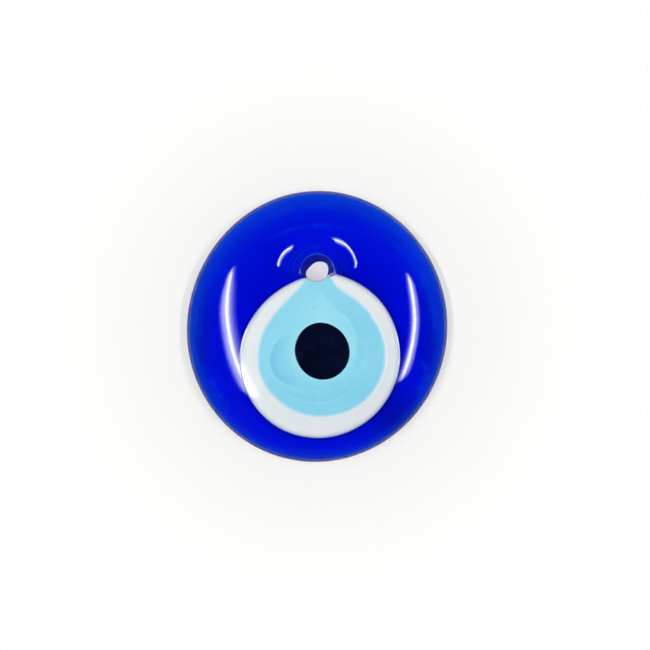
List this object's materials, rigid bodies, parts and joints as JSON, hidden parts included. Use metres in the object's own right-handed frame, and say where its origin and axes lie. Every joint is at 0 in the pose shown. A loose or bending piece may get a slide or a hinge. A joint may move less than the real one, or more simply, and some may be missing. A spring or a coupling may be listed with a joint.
{
  "type": "evil eye ornament",
  "caption": "Flat-backed round glass evil eye ornament: cobalt disc with fused white, light blue and dark pupil layers, and a pierced hanging hole.",
  "frame": {"origin": "middle of the flat back, on the surface the ornament lies on", "axes": "+Z out of the eye's face, +Y from the pupil towards the hanging hole, +X to the right when looking at the face with the hole at the top"},
  "size_m": [0.06, 0.0624, 0.0094],
  "materials": {
    "cobalt_glass": "fire-polished, deep cobalt blue, clear but very dense",
    "white_glass": "fire-polished, opaque milk white",
    "light_blue_glass": "fire-polished, opaque light blue with faint swirls",
    "dark_glass": "fire-polished, opaque blue-black"
  },
  "bodies": {
    "root": {"cobalt_glass_disc": "cobalt_glass", "white_glass_layer": "white_glass", "light_blue_glass_layer": "light_blue_glass", "pupil_glass_drop": "dark_glass"}
  },
  "joints": []
}
